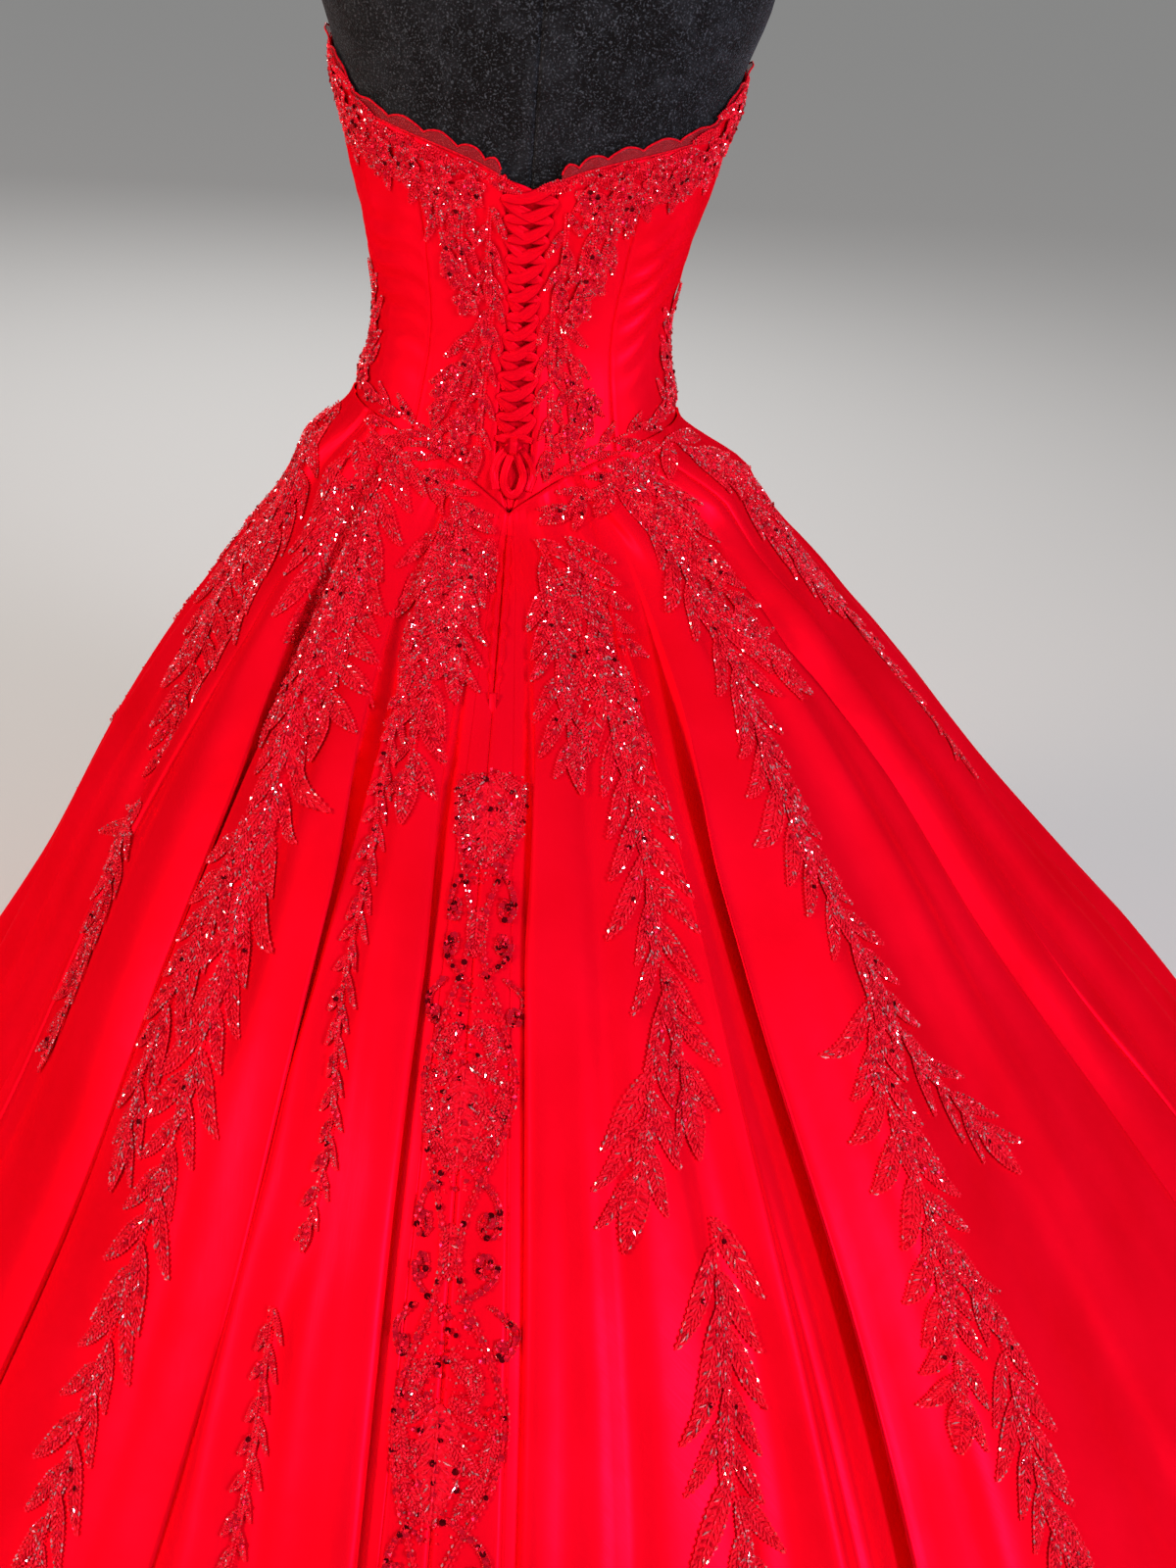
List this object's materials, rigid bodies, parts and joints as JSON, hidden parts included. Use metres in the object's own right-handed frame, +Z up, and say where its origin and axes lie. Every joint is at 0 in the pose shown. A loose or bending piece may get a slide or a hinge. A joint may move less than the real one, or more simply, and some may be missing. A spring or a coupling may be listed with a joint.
{
  "type": "ball gown on a dress form",
  "caption": "Strapless red satin ball gown with a lace-up back, beaded leaf sprays and a sweep train, standing on a black limbless dress form with a round base.",
  "frame": {"origin": "centre of the round base's underside, on the floor", "axes": "+Z up; the gown's front faces -Y and its train runs towards +Y; +X is the wearer's left"},
  "size_m": [1.8047, 2.1561, 1.53],
  "materials": {
    "satin": "glossy satin",
    "beaded_lace": "beaded corded lace",
    "net": "fine net",
    "velvet": "plush velvet",
    "steel": "brushed"
  },
  "bodies": {
    "root": {"bodice_applique_left": "beaded_lace", "bodice_applique_right": "beaded_lace", "bodice_back_left": "satin", "bodice_back_right": "satin", "bodice_front": "satin", "bodice_side_back_left": "satin", "bodice_side_back_right": "satin", "bodice_side_front_left": "satin", "bodice_side_front_right": "satin", "dress_form_torso": "velvet", "hip_applique_left": "beaded_lace", "hip_applique_right": "beaded_lace", "lacing_loops_left": "satin", "lacing_loops_right": "satin", "modesty_panel": "satin", "net_edging": "net", "ribbon_knot": "satin", "ribbon_loop": "satin", "ribbon_over": "satin", "ribbon_tail_left": "satin", "ribbon_tail_right": "satin", "ribbon_under": "satin", "skirt_back_left": "satin", "skirt_back_right": "satin", "skirt_centre_back_beading": "beaded_lace", "skirt_centre_back_left": "satin", "skirt_centre_back_right": "satin", "skirt_front": "satin", "skirt_side_back_left": "satin", "skirt_side_back_right": "satin", "skirt_side_front_left": "satin", "skirt_side_front_right": "satin", "spray_back_left_inner": "beaded_lace", "spray_back_left_side": "beaded_lace", "spray_back_left_wide": "beaded_lace", "spray_back_right_inner": "beaded_lace", "spray_back_right_middle": "beaded_lace", "spray_front_left": "beaded_lace", "spray_front_right": "beaded_lace", "spray_hip_right": "beaded_lace", "spray_side_left": "beaded_lace", "stand_base": "steel", "stand_pole": "steel", "zip_tape": "satin"}
  },
  "joints": []
}
